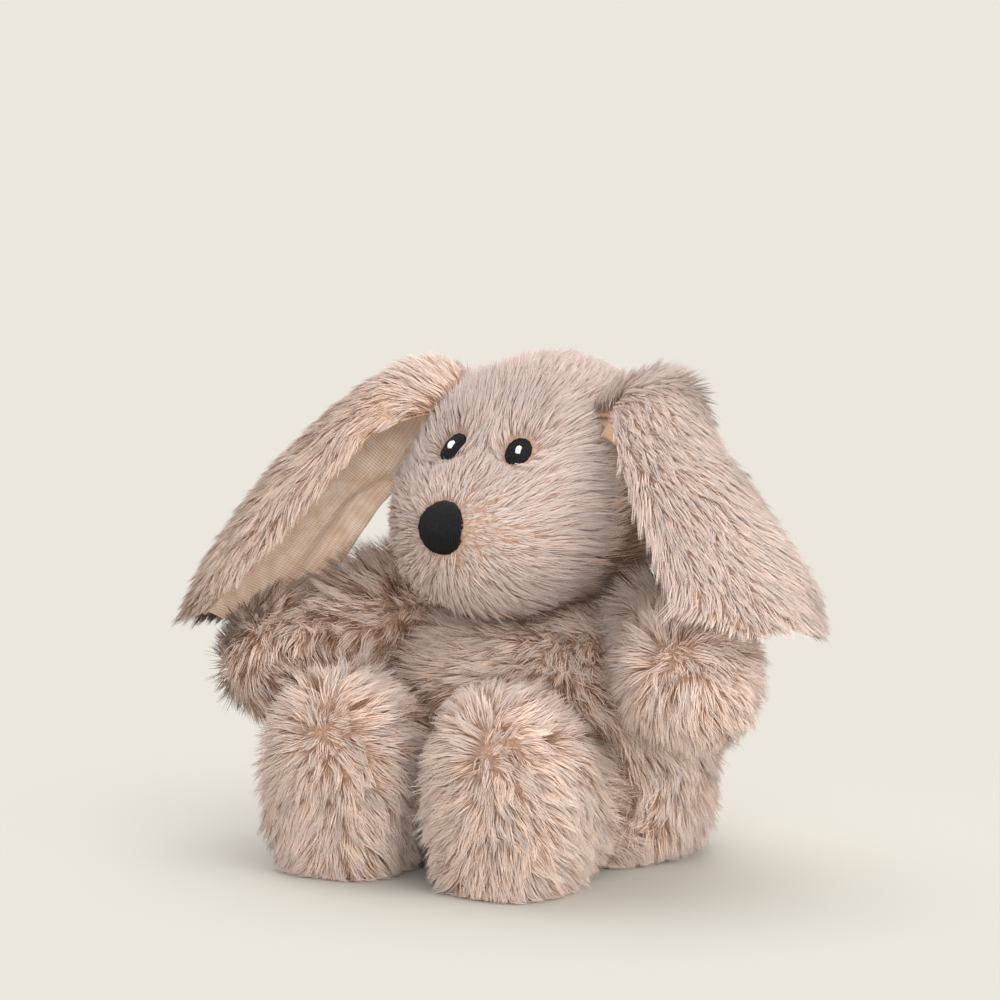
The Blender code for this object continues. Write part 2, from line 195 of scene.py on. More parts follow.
# %% Light
# For each lamp: how far it stands to the camera's right, towards the camera and up, its size and its power
LAMPS = {
    "key_lamp": (0.85, 1.15, 0.3, 1.4, 21.5),
    "fill_lamp": (-0.15, 1.5, 0.02, 0.7, 12.0),
    "back_lamp": (-0.35, -0.9, 1.2, 2.2, 27.0),
}
SKY = 0.72
MIDDLE_OF_DOG = Vector((0, 0, 0.1))
for name, (right, nearer, higher, size, power) in LAMPS.items():
    place = MIDDLE_OF_DOG + RIGHT * right + BACK * nearer + UP * higher
    facing = (MIDDLE_OF_DOG - place).to_track_quat("-Z", "Y").to_euler()
    bpy.ops.object.select_all(action="DESELECT")
    bpy.ops.object.light_add(type="AREA", location=place, rotation=facing)
    lamp = bpy.context.object
    lamp.name = name
    lamp.data.size = size
    lamp.data.energy = power
    lamp.visible_camera = False
world = bpy.data.worlds.new("even_sky")
bpy.context.scene.world = world
world.use_nodes = True
world.node_tree.nodes["Background"].inputs["Color"].default_value = linear("#ffffff")
world.node_tree.nodes["Background"].inputs["Strength"].default_value = SKY
bpy.context.scene.view_settings.view_transform = "Standard"
print(len(LAMPS), "lamps and a sky of", SKY)

# %% [markdown]
# ## Plush finishes
# Long-pile plush is acrylic fibre knitted into a backing. Each fibre is brown at its root, partly its own
# colour and partly painted shade, and paler and pinker at its tip, partly its own colour and partly painted
# light that passes through it. No two locks have quite the same tone. A noise texture would spread its spots
# across fibres that don't belong together. So every fibre carries its own UV place, with its lock's tone
# across and the way from root to tip upwards, and one smooth colour field paints them all.

# %% Plush finishes
# Acrylic pile: soft matt fibres, brown with painted shade at the root and pale pink-beige with painted light
# at the tip.
PILE, shader = new_material(
    "acrylic_pile", 0.8, Specular_IOR_Level=0.1, Sheen_Weight=0.15, Sheen_Tint=linear("#f0d2bc")
)
# Tones below this are painted shade: deep brown locks in the creases between pieces and under the ears.
SHADE_TONE = 0.3
# Each kind of lock from its root to its tip
SHADED_LOCK = [(0.0, "#4d301d"), (0.40, "#6f4b34"), (1.0, "#8f6a51")]
DUSKY_LOCK = [(0.0, "#977158"), (0.40, "#dfbca6"), (1.0, "#f8e6da")]
PALE_LOCK = [(0.0, "#977d71"), (0.40, "#b9a59b"), (1.0, "#cec2be")]
place = add_node(PILE, "ShaderNodeUVMap", uv_map="OFBake").outputs["UV"]
axes = add_node(PILE, "ShaderNodeSeparateXYZ", {"Vector": place}).outputs
# The first ramp is painted shade, for the locks in the creases and under the ears.
deep, dusky, pale = (
    add_node(PILE, "ShaderNodeValToRGB", {"Fac": axes["Y"]}, stops=lock).outputs["Color"]
    for lock in (SHADED_LOCK, DUSKY_LOCK, PALE_LOCK)
)
low = add_node(PILE, "ShaderNodeMapRange", {"Value": axes["X"]}, {"From Max": SHADE_TONE}).outputs[0]
high = add_node(PILE, "ShaderNodeMapRange", {"Value": axes["X"]}, {"From Min": SHADE_TONE}).outputs[0]
locks = add_node(PILE, "ShaderNodeMixRGB", {"Fac": low, "Color1": deep, "Color2": dusky}).outputs["Color"]
locks = add_node(PILE, "ShaderNodeMixRGB", {"Fac": high, "Color1": locks, "Color2": pale}).outputs["Color"]
PILE.node_tree.links.new(locks, shader.inputs["Base Color"])

# Knitted backing: brown loops 1.6 mm apart, which show only as shade between the locks.
LOOP = 1.6 * MM
BACKING, shader = new_material("knitted_backing", 0.95, Specular_IOR_Level=0.1)
place = add_node(BACKING, "ShaderNodeTexCoord").outputs["Object"]
loops = add_node(BACKING, "ShaderNodeTexVoronoi", {"Vector": place}, {"Scale": 1 / LOOP}).outputs["Distance"]
knit = add_node(BACKING, "ShaderNodeValToRGB", {"Fac": loops}, stops=[(0.0, "#c4a591"), (0.8, "#a0806a")])
BACKING.node_tree.links.new(knit.outputs["Color"], shader.inputs["Base Color"])
bump = add_node(BACKING, "ShaderNodeBump", {"Height": loops}, {"Strength": 0.5, "Distance": 0.4 * MM})
BACKING.node_tree.links.new(bump.outputs["Normal"], shader.inputs["Normal"])
print("plush finishes:", PILE.name, "and", BACKING.name)

# %% [markdown]
# ## Reading and moving a mesh
# The forms and the pile have many thousands of points. A Python loop over them is slow, so whole lists of
# points are read into arrays and written back at once. A search tree finds the nearest place on a mesh.


# %% Reading and moving a mesh
def coordinates(mesh):
    """The places of a mesh's points."""
    values = np.empty(len(mesh.vertices) * 3, np.float32)
    mesh.vertices.foreach_get("co", values)
    return values.reshape(-1, 3).astype(float)


def vertex_normals(mesh):
    """The outward direction at each point of a mesh."""
    values = np.empty(len(mesh.vertices) * 3, np.float32)
    mesh.vertex_normals.foreach_get("vector", values)
    return values.reshape(-1, 3).astype(float)


def triangles(mesh):
    """The three point numbers of each triangle of a mesh."""
    mesh.calc_loop_triangles()
    values = np.empty(len(mesh.loop_triangles) * 3, np.int32)
    mesh.loop_triangles.foreach_get("vertices", values)
    return values.reshape(-1, 3)


def move_to(mesh, places):
    """Puts a mesh's points at these places."""
    mesh.vertices.foreach_set("co", np.ascontiguousarray(places, np.float32).ravel())
    mesh.update()


def make_active(piece):
    """Selects one piece alone, so that the next operator acts on it."""
    bpy.ops.object.select_all(action="DESELECT")
    piece.select_set(True)
    bpy.context.view_layer.objects.active = piece


def search_tree(mesh):
    """A tree that finds the nearest place on a mesh."""
    return BVHTree.FromPolygons(coordinates(mesh).tolist(), triangles(mesh).tolist())


# %% [markdown]
# ## Stuffed forms
# Torso, head, arms, legs and tail are plush covers packed with fibre, and the neck is a firm ball of it. Each
# could be sculpted from a sphere, but the CAD covers already have the right shapes. So a form starts as the
# hull of its cover, which closes the openings at the joints. A voxel remesh gives it an even skin, a short
# cloth simulation lets the stuffing push that skin out a little, and one subdivision smooths it. Last, it is
# laid back on the CAD cover, so that the joints keep their room.

# %% Swelling
SWELL = 1.5 * MM
STUFFING_PRESSURE, SWELL_FRAMES = 4.0, 20


def swell(piece):
    """Pushes the skin out with stuffing, by no more than SWELL."""
    before = coordinates(piece.data)
    cloth = piece.modifiers.new("stuffing", "CLOTH")
    cloth.settings.use_pressure = True
    cloth.settings.uniform_pressure_force = STUFFING_PRESSURE
    cloth.settings.effector_weights.gravity = 0.0
    cloth.collision_settings.use_collision = False
    for number in range(1, SWELL_FRAMES + 1):
        bpy.context.scene.frame_set(number)
    make_active(piece)
    bpy.ops.object.modifier_apply(modifier="stuffing")
    bpy.context.scene.frame_set(1)
    step = coordinates(piece.data) - before
    size = np.linalg.norm(step, axis=1, keepdims=True)
    move_to(piece.data, before + step * np.minimum(1.0, SWELL / np.maximum(size, 1e-9)))


# %% Stuffed forms
VOXEL = 4.5 * MM
# A form's point this near to the CAD cover is laid on it, this far under its surface.
NEAR_CAD, UNDER_CAD = 4.0 * MM, 0.3 * MM


def hull_of(name, cover):
    """A closed, evenly meshed hull of a CAD cover."""
    piece = bpy.data.objects.new(name, nodes[cover].data.copy())
    bpy.context.scene.collection.objects.link(piece)
    piece.data.materials.clear()
    make_active(piece)
    bpy.ops.object.mode_set(mode="EDIT")
    bpy.ops.mesh.select_all(action="SELECT")
    bpy.ops.mesh.remove_doubles(threshold=0.01 * MM)
    bpy.ops.mesh.convex_hull()
    bpy.ops.object.mode_set(mode="OBJECT")
    piece.data.remesh_voxel_size = VOXEL
    bpy.ops.object.voxel_remesh()
    return piece


def lay_on_cover(piece, cover):
    """Moves a form's points just under its CAD cover where the two are close, and never below the floor."""
    tree = search_tree(nodes[cover].data)
    places = coordinates(piece.data)
    for i, place in enumerate(places):
        spot, normal, _, gap = tree.find_nearest(Vector(place))
        if gap < NEAR_CAD:
            places[i] = np.array(spot) - np.array(normal) * UNDER_CAD
    places[:, 2] = np.maximum(places[:, 2], 0.0)
    move_to(piece.data, places)


def stuffed_form(name, body, cover, *inside):
    """A soft closed form in the place of a CAD cover and of what it holds."""
    piece = hull_of(name, cover)
    swell(piece)
    smooth = piece.modifiers.new("smooth", "SMOOTH")
    smooth.iterations = 4
    bpy.ops.object.modifier_apply(modifier="smooth")
    finer = piece.modifiers.new("finer", "SUBSURF")
    finer.levels = finer.render_levels = 1
    bpy.ops.object.modifier_apply(modifier="finer")
    lay_on_cover(piece, cover)
    piece.data.shade_smooth()
    piece.data.materials.append(BACKING)
    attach(piece, body)
    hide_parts(cover, *inside)
    print(name, len(piece.data.vertices), "vertices")
    return piece


forms = {
    "torso": stuffed_form("torso_form", "torso", "torso_cover", "chest_stuffing", "seat_bean_bag"),
    "neck": stuffed_form("neck_form", "neck", "neck_stuffing"),
    "head": stuffed_form("head_form", "head", "head_cover", "head_stuffing"),
    "tail": stuffed_form("tail_form", "tail", "tail_cover", "tail_stuffing"),
}
for side in SIDES:
    for limb in ("arm", "leg"):
        part = f"{limb}_{side}"
        forms[part] = stuffed_form(f"{part}_form", part, f"{part}_cover", f"{part}_stuffing")

# %% [markdown]
# ## The shape of an ear
# An ear is cut flat, narrow at the root and rounded at the tip. The seam round its edge cups it, and it hangs
# from its sewn root in an arch. A flat cloth could be simulated until it hangs like that, but each run would
# hang differently. So the shape is written down: a line from root to tip, the width along it and how far it
# is cupped. Every place on the ear then has two numbers, along (0 at the root) and across (-1 at the front).

# %% The shape of an ear
EAR_LINE = {
    "left": [(39, -7, 190), (53, -11, 196), (88, -31, 172), (131, -48, 130), (146, -55, 112)],
    "right": [(39, -7, 190), (61, -15, 195), (98, -34, 164), (128, -47, 122), (139, -56, 96)],
}
EAR_WIDTH = {"left": [19.0, 22.0, 28.0, 36.0, 33.0], "right": [19.0, 31.0, 41.0, 43.0, 35.0]}
EAR_LINE = {side: np.array(line) * MM for side, line in EAR_LINE.items()}
EAR_WIDTH = {side: np.array(width) * MM for side, width in EAR_WIDTH.items()}
EAR_CUP = np.array([0.25, 0.85, 1.15, 1.1, 0.9])
EAR_SEAM = np.array([4.0, 39.0, 5.0]) / np.linalg.norm([4.0, 39.0, 5.0])


def unit(v):
    """Vectors of the same directions, one long."""
    return v / np.maximum(np.linalg.norm(v, axis=-1, keepdims=True), 1e-12)


def ease(low, high, x):
    """A smooth step: 0 at low, 1 at high, and level outside them."""
    t = np.clip((x - low) / (high - low), 0.0, 1.0)
    return t * t * (3 - 2 * t)


def ear_keys(side):
    """How far along the ear each point of its line is."""
    return np.concatenate([[0.0], np.cumsum(np.linalg.norm(np.diff(EAR_LINE[side], axis=0), axis=1))])


EAR_LENGTH = {side: ear_keys(side)[-1] for side in SIDES}


def smooth_through(keys, values, at):
    """Values on a smooth curve through the given ones, which doesn't overshoot between them."""
    step = np.diff(keys)[:, None]
    slope = np.diff(values, axis=0) / step
    same_way = slope[:-1] * slope[1:] > 0
    total = np.where(same_way, slope[:-1] + slope[1:], 1.0)
    inner = np.where(same_way, 2 * slope[:-1] * slope[1:] / total, 0.0)
    tangent = np.vstack([slope[:1], inner, slope[-1:]])
    i = np.clip(np.searchsorted(keys, at, side="right") - 1, 0, len(step) - 1)
    t = ((at - keys[i])[:, None]) / step[i]
    rise = values[i + 1] - values[i]
    start, end = tangent[i] * step[i], tangent[i + 1] * step[i]
    return values[i] + t * start + t**2 * (3 * rise - 2 * start - end) + t**3 * (start + end - 2 * rise)


def half_width(side, along):
    """Half the ear's width at a share of its length: it is rounded off towards the tip."""
    end = np.clip((along - 0.8) / 0.2, 0, 1)
    keys = ear_keys(side) / EAR_LENGTH[side]
    return smooth_through(keys, EAR_WIDTH[side][:, None], along)[:, 0] * np.sqrt(1 - 0.85 * end**2)


def ear_surface(side, along, across):
    """Points of an ear, with their outward normals and the ways towards the tip and the rear edge."""
    table = np.linspace(0, 1, 401)
    keys = ear_keys(side) / EAR_LENGTH[side]
    line = smooth_through(keys, EAR_LINE[side], table)
    runs = unit(np.gradient(line, table, axis=0))
    middle, tipward = (
        np.stack([np.interp(along, table, values[:, k]) for k in range(3)], axis=1) for values in (line, runs)
    )
    tipward = unit(tipward)
    cup = smooth_through(keys, EAR_CUP[:, None], along)
    level = unit(EAR_SEAM - tipward * (tipward @ EAR_SEAM)[:, None])
    out = np.cross(tipward, level)
    turn = across[:, None] * cup
    radius = half_width(side, along)[:, None] / cup
    points = middle + radius * (np.sin(turn) * level - (1 - np.cos(turn)) * out)
    normals = np.sin(turn) * level + np.cos(turn) * out
    rearward = np.cos(turn) * level - np.sin(turn) * out
    mirror = np.array([1.0 if side == "left" else -1.0, 1.0, 1.0])
    return [v * mirror for v in (points, normals, tipward, rearward)]


for side in SIDES:
    size = (EAR_LENGTH[side], 2 * EAR_WIDTH[side].max())
    print(side, "ear: length and width in mm", [round(v / MM) for v in size])

# %% [markdown]
# ## Ear lining cloth
# The lining is a tan ribbed cotton. Its ribs are a millimetre apart, much finer than the ear's mesh, so they
# are drawn by the material, as colour and as bump. A wave texture in Object coordinates would cut straight
# through the cupped ear. The panel's own UV map runs along and across the ear, so the ribs follow it.

# %% Ear lining cloth
# Ribbed cotton: fine ribs 1.1 mm apart run across the ear, softer along it, in a warm tan with a few slubs,
# and painted shade darkens it towards the front hem.
RIB, WARP, SLUB = 1.1 * MM, 1.5 * MM, 7 * MM
LINING_LONG, LINING_WIDE = 160 * MM, 82 * MM
WARP_SHARE = 0.45
RIB_COLOURS = [(0.0, "#dfc4ae"), (0.5, "#f6e0cf"), (1.0, "#fdf0e5")]
SLUB_COLOURS = [(0.3, "#eadfd2"), (0.7, "#ffffff")]
# Painted shade: the lining darkens towards its front hem.
HEM_SHADE_COLOURS = [(0.0, "#dcc6ae"), (0.2, "#ffffff")]
LINING, shader = new_material(
    "ribbed_cotton", 0.9, Specular_IOR_Level=0.15, Sheen_Weight=0.2, Sheen_Roughness=0.4
)
place = add_node(LINING, "ShaderNodeUVMap", uv_map="cloth").outputs["UV"]
axes = add_node(LINING, "ShaderNodeSeparateXYZ", {"Vector": place}).outputs
waves = []
for axis, turns in (("X", LINING_LONG / RIB), ("Y", LINING_WIDE / WARP)):
    times = {1: 2 * math.pi * turns}
    wave = add_node(LINING, "ShaderNodeMath", {0: axes[axis]}, times, operation="MULTIPLY").outputs[0]
    waves.append(add_node(LINING, "ShaderNodeMath", {0: wave}, operation="SINE").outputs[0])
rib, warp = waves
mixed = {0: warp, 2: rib}
weave = add_node(LINING, "ShaderNodeMath", mixed, {1: WARP_SHARE}, operation="MULTIPLY_ADD").outputs[0]
span = {"From Min": -1 - WARP_SHARE, "From Max": 1 + WARP_SHARE}
weave = add_node(LINING, "ShaderNodeMapRange", {"Value": weave}, span).outputs[0]
spot = add_node(LINING, "ShaderNodeTexCoord").outputs["Object"]
grain = {"Scale": 1 / SLUB, "Detail": 3.0}
slub = add_node(LINING, "ShaderNodeTexNoise", {"Vector": spot}, grain).outputs["Fac"]
tone = add_node(LINING, "ShaderNodeValToRGB", {"Fac": weave}, stops=RIB_COLOURS).outputs["Color"]
# The slubs are the cloth's own; the hem ramp is painted shade.
for source, stops in ((slub, SLUB_COLOURS), (axes["Y"], HEM_SHADE_COLOURS)):
    layer = add_node(LINING, "ShaderNodeValToRGB", {"Fac": source}, stops=stops).outputs["Color"]
    pair = {"Color1": tone, "Color2": layer}
    tone = add_node(LINING, "ShaderNodeMixRGB", pair, {"Fac": 1.0}, blend_type="MULTIPLY").outputs["Color"]
LINING.node_tree.links.new(tone, shader.inputs["Base Color"])
bump = add_node(LINING, "ShaderNodeBump", {"Height": weave}, {"Strength": 0.6, "Distance": 0.35 * MM})
LINING.node_tree.links.new(bump.outputs["Normal"], shader.inputs["Normal"])
print("lining ribs:", round(LINING_LONG / RIB), "along each ear")


# %% [markdown]
# ## Ear panels
# Each ear is two panels sewn together at the edge: plush outside and the tan cloth inside. A plane cut to
# the ear's outline would have uneven faces at its rim. A grid bent on to the ear's shape stays even, and
# Solidify gives it the thickness of the cloth. The lining is cut a little larger than the plush, so it shows
# past the plush in places, bulges into a fold and puckers at the seam.

# %% Ear panels
PLUSH_CLOTH, LINING_CLOTH = 2.0 * MM, 0.8 * MM
PLUSH_OUT, LINING_OUT = 1.4 * MM, -0.4 * MM
# How far the lining shows past the plush at the front and the rear edge, as a share of the half-width
LINING_OVERHANG = {"left": (0.34, 0.0), "right": (0.0, 0.25)}


def ear_panel(name, side, offset, thickness, folds, material, overhang=(0.0, 0.0)):
    """One panel of an ear: a grid laid on the ear's surface at this offset, then given its thickness."""
    bpy.ops.object.select_all(action="DESELECT")
    bpy.ops.mesh.primitive_grid_add(x_subdivisions=72, y_subdivisions=56, size=1.0)
    piece = bpy.context.object
    piece.name = piece.data.name = name
    flat = coordinates(piece.data)
    along, across = flat[:, 0] + 0.5, flat[:, 1] * 2
    front, rear = overhang
    front = front * ease(0.0, 0.06, along) * ease(0.36, 0.16, along)
    across = across * (1 + front * ease(0.4, 1.0, -across))
    # At the tip the lining is no wider than the plush, so that it clears the arm when the head turns.
    rear = rear * ease(0.02, 0.12, along) * (1 + ease(0.35, 0.15, along)) * ease(0.97, 0.72, along)
    across = across * (1 + rear * ease(0.5, 1.0, across))
    points, normals, _, _ = ear_surface(side, along, across)
    move_to(piece.data, points + normals * (offset + folds(along, across))[:, None])
    piece.data.uv_layers[0].name = "cloth"
    bpy.ops.object.mode_set(mode="EDIT")
    bpy.ops.mesh.select_all(action="SELECT")
    if side == "right":
        # The right ear is a mirror image, so its faces are turned round.
        bpy.ops.mesh.flip_normals()
    bpy.ops.object.mode_set(mode="OBJECT")
    wall = piece.modifiers.new("cloth_thickness", "SOLIDIFY")
    wall.thickness = thickness
    wall.offset = 0.0
    bpy.ops.object.modifier_apply(modifier="cloth_thickness")
    piece.data.shade_smooth()
    piece.data.materials.append(material)
    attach(piece, f"ear_{side}")
    return piece


def lining_folds(along, across):
    """The loose lining: it bulges as far as a long crease near the rear edge, drops away behind it, and
    puckers at the seam."""
    line = 1.15 - 0.32 * ease(0.3, 0.55, along)
    rise = np.sin(math.pi / 2 * np.clip((across + 0.95) / (line + 0.95), 0, 1))
    bulge = 7.0 * rise * ease(0.13, 0.0, across - line) * ease(0.12, 0.45, along) * ease(1.0, 0.55, along)
    pucker = 0.5 * np.sin(along * 55 + 2 * np.sin(9 * along)) * ease(0.7, 1.0, np.abs(across))
    return -(bulge + pucker + 0.6) * MM


def no_folds(along, across):
    """The plush is too thick to fold."""
    return np.zeros(len(along))


ear_pieces = {}
for side in SIDES:
    lining_name, overhang = f"ear_{side}_lining_cloth", LINING_OVERHANG[side]
    plush = ear_panel(f"ear_{side}_panel", side, PLUSH_OUT, PLUSH_CLOTH, no_folds, BACKING)
    lining = ear_panel(lining_name, side, LINING_OUT, LINING_CLOTH, lining_folds, LINING, overhang)
    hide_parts(f"ear_{side}_fur")
    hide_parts(f"ear_{side}_lining")
    ear_pieces[side] = plush, lining
    print(plush.name, "and", lining.name)


# %% [markdown]
# ## Fibres
# Real pile fibre is about a twentieth of a millimetre thick, too fine to model one by one, so each fibre
# here stands for a small bundle. A long one is a closed spindle of six triangles: it leaves the backing as a
# point, is widest at its bend and ends in a point. A short one, of the undercoat that hides the backing, is
# a spike of four. Curves with a bevel would give the same shape with many more faces.

# %% Fibres
# How much of its normal a fibre borrows from the skin, so that the pile takes the light as a soft whole
SKIN_SHARE = 0.5
# Where a fibre's root, bend and tip are on the colour field
ROOT_UP, BEND_UP, TIP_UP = 0.02, 0.5, 0.98


def spikes(levels, radius, tone, skin):
    """Closed three-sided fibres through the given levels (fibre, level, xyz), with their UVs and normals. One
    of two levels is a spike, and one of three is a spindle with its bend at the middle level."""
    count, height, _ = levels.shape
    axis = unit(levels[:, -1] - levels[:, 0])
    first = unit(np.cross(axis, unit(np.array([0.31, 0.77, 0.55])) + axis[:, ::-1] * 0.3))
    second = np.cross(axis, first)
    corners, facing = [], []
    for k in range(3):
        turn = 2 * math.pi * k / 3
        offset = first * math.cos(turn) + second * math.sin(turn)
        corners.append(levels[:, -2] + offset * radius[:, None])
        facing.append(unit(skin * SKIN_SHARE + offset * (1 - SKIN_SHARE)))
    corners.append(levels[:, -1])
    facing.append(skin)
    faces = [(0, 1, 3), (1, 2, 3), (2, 0, 3)]
    # The corners get slightly different UV places, so that no face is without area there.
    up = [BEND_UP if height == 3 else ROOT_UP] * 3 + [TIP_UP]
    across = [-0.006, 0.0, 0.006, 0.001]
    if height == 3:
        corners.append(levels[:, 0])
        facing.append(skin)
        faces += [(1, 0, 4), (2, 1, 4), (0, 2, 4)]
        up, across = up + [ROOT_UP], across + [0.002]
    else:
        faces += [(0, 2, 1)]
        up[1] += 0.01
    verts, faces = np.stack(corners, axis=1), np.array(faces)
    tris = (np.arange(count)[:, None, None] * verts.shape[1] + faces[None]).reshape(-1, 3)
    uv = np.empty((count, len(faces), 3, 2))
    uv[..., 0] = tone[:, None, None] + np.array(across)[faces][None]
    uv[..., 1] = np.array(up)[faces][None]
    return verts.reshape(-1, 3), tris, uv.reshape(-1, 2), np.stack(facing, axis=1).reshape(-1, 3)


def pile_mesh(name, lots, material):
    """One object from several lots of fibres."""
    starts = np.cumsum([0] + [len(lot[0]) for lot in lots])
    verts, uvs, facing = (np.concatenate([lot[k] for lot in lots]) for k in (0, 2, 3))
    tris = np.concatenate([lot[1] + start for lot, start in zip(lots, starts)])
    mesh = bpy.data.meshes.new(name)
    mesh.vertices.add(len(verts))
    mesh.vertices.foreach_set("co", verts.astype(np.float32).ravel())
    mesh.loops.add(tris.size)
    mesh.loops.foreach_set("vertex_index", tris.astype(np.int32).ravel())
    mesh.polygons.add(len(tris))
    mesh.polygons.foreach_set("loop_start", np.arange(0, tris.size, 3, dtype=np.int32))
    mesh.update(calc_edges=True)
    layer = mesh.uv_layers.new(name="OFBake")
    layer.data.foreach_set("uv", uvs.astype(np.float32).ravel())
    mesh.shade_smooth()
    mesh.normals_split_custom_set_from_vertices(facing)
    mesh.materials.append(material)
    piece = bpy.data.objects.new(name, mesh)
    bpy.context.scene.collection.objects.link(piece)
    return piece


# %% [markdown]
# ## Roots
# A knitted backing carries its pile all over, as densely in one place as in another. Roots on the points of
# the mesh would line up in rows, so they are scattered at random over its triangles, by area, and always from
# the same seed. Skin that lies deep inside a neighbour gets none, because nobody can see it.

# %% Roots
# Skin deeper than this inside another form is never seen.
HIDDEN = 6.0 * MM


def scatter(places, normals, tris, per_mm2, rng):
    """Random roots spread evenly over triangles."""
    p, n = places[tris], normals[tris]
    area = np.linalg.norm(np.cross(p[:, 1] - p[:, 0], p[:, 2] - p[:, 0]), axis=1) / 2
    count = int(area.sum() / MM**2 * per_mm2)
    pick = np.searchsorted(np.cumsum(area), rng.random(count) * area.sum()).clip(0, len(tris) - 1)
    s, t = np.sqrt(rng.random(count)), rng.random(count)
    share = np.stack([1 - s, s * (1 - t), s * t], axis=1)[:, :, None]
    return (p[pick] * share).sum(1), unit((n[pick] * share).sum(1))


def buried(form_name):
    """For each corner of a form, whether it lies deep inside another form."""
    places = coordinates(forms[form_name].data)
    deep = np.zeros(len(places), bool)
    for name, other in forms.items():
        if name == form_name:
            continue
        low, high = np.array(other.bound_box).min(0), np.array(other.bound_box).max(0)
        tree = search_tree(other.data)
        for i in np.flatnonzero(np.all((places > low) & (places < high), axis=1) & ~deep):
            spot, normal, _, gap = tree.find_nearest(Vector(places[i]))
            deep[i] = gap > HIDDEN and (Vector(places[i]) - spot).dot(normal) < 0
    return deep


def form_surface(form_name, keep=None):
    """A form's triangles that aren't buried, and that keep() accepts by their middle."""
    mesh = forms[form_name].data
    places, normals, tris = coordinates(mesh), vertex_normals(mesh), triangles(mesh)
    shown = ~buried(form_name)[tris].all(axis=1)
    if keep:
        shown &= keep(places[tris].mean(axis=1))
    return places, normals, tris[shown]


# %% [markdown]
# ## Locks
# Plush that has been handled clings together in locks, which differ in tone and lean their own way. In the
# creases between two pieces, and on the side of the head under an ear, the locks carry painted shade and are
# dark. Shade from the lamps alone is too weak there, because light gets in between fibres this thick, so the
# painted shade lowers a lock's tone the nearer it lies to the next piece.

# %% Locks
# How near to another body's cloth the painted shade of a crease starts: an ear hangs free, so less beside it
CREASE, EAR_CREASE = 20.0 * MM, 9.0 * MM
cloth_trees = {name: search_tree(form.data) for name, form in forms.items()}
cloth_trees.update({f"ear_{side}": search_tree(plush.data) for side, (plush, _) in ear_pieces.items()})


def along_skin(v, normal):
    """A direction laid flat on the skin."""
    return unit(v - normal * np.sum(v * normal, axis=-1, keepdims=True))


def point_tree(points):
    """A tree that finds the number of the nearest point."""
    tree = KDTree(len(points))
    for i, point in enumerate(points):
        tree.insert(point, i)
    tree.balance()
    return tree


def painted_shade(places, body):
    """How much painted shade each place gets, from 0 in the open: in the crease beside another body's cloth,
    or on the side of the head, where an ear hangs over it."""
    shade = np.zeros(len(places))
    # Painted shade on the side of the head, under each ear
    if body == "head":
        x, y, z = np.abs(places[:, 0]), places[:, 1], places[:, 2]
        shade = 0.95 * ease(30 * MM, 40 * MM, x) * ease(182 * MM, 164 * MM, z)
        shade *= ease(-30 * MM, -14 * MM, y) * ease(38 * MM, 12 * MM, y)
    # Painted shade in the creases beside other bodies' cloth
    for name, tree in cloth_trees.items():
        by_ear = name.startswith("ear") or body.startswith("ear")
        if name == body or (by_ear and body == "head"):
            continue
        reach = EAR_CREASE if by_ear else CREASE
        gaps = [tree.find_nearest(place, reach)[3] for place in places]
        gaps = np.array([reach if gap is None else gap for gap in gaps])
        shade = np.maximum(shade, 0.9 * ease(reach, 3 * MM, gaps))
    return shade


def make_locks(roots, normals, body, comb, tousle, pale, patchy, rng):
    """Locks from their roots: the tip that each leans to, its tone, and a tree to find the nearest one."""
    way, lift, length = comb(roots, normals)
    way = along_skin(way + 0.34 * tousle * rng.normal(size=roots.shape), normals)
    lift = lift + rng.normal(0, 0.18 * tousle, len(roots))
    length = length * rng.uniform(0.8, 1.15, len(roots))
    tip = roots + (way * np.cos(lift)[:, None] + normals * np.sin(lift)[:, None]) * length[:, None]
    tone = np.clip(SHADE_TONE + (1 - SHADE_TONE) * rng.normal(pale, patchy, len(roots)), 0.05, 1.0)
    # A lock's tone is lowered by its painted shade in a crease or under an ear.
    return roots, tip, tone * (1 - painted_shade(tip, body)), point_tree(roots)


# %% [markdown]
# ## Growing the pile
# A fibre stands up from the backing and then lies over the way it was combed, with its tip drawn towards
# the tip of its lock. Brushing hair in Blender's sculpt mode would do this by hand. Here a comb is a
# function: for any root it gives the way, the lift from the skin and the length. So it can follow the nose,
# the eyes and the paws, and it gives the same pile each time.

# %% Growing the pile
# The long fibres and the undercoat between them
LONG_PER_MM2, UNDER_PER_MM2 = 0.95, 1.0
LONG_RADIUS, UNDER_RADIUS = 0.19 * MM, 0.24 * MM
# How many mm² of backing one lock stands on
SMOOTH_LOCK, TUFT = 5.5, 9.5
# The head and the ears are brushed smooth and are even in tone. The rest is tousled and patchy.
BRUSHED = {"tousle": 0.5, "patchy": 0.18, "lock_area": SMOOTH_LOCK}
FLOOR_CLEAR = 0.5 * MM
ROOT_DEPTH = 0.6 * MM


def drift(p, size, seed):
    """Smooth random vectors that change over about this size."""
    waves = np.random.default_rng(seed)
    total = np.zeros_like(p)
    for _ in range(7):
        way = waves.normal(size=3)
        way *= 2 * math.pi / size * waves.uniform(0.6, 1.4) / np.linalg.norm(way)
        total += np.sin(p @ way + waves.uniform(0, 6.28))[:, None] * waves.normal(size=3)
    return total / 2.6


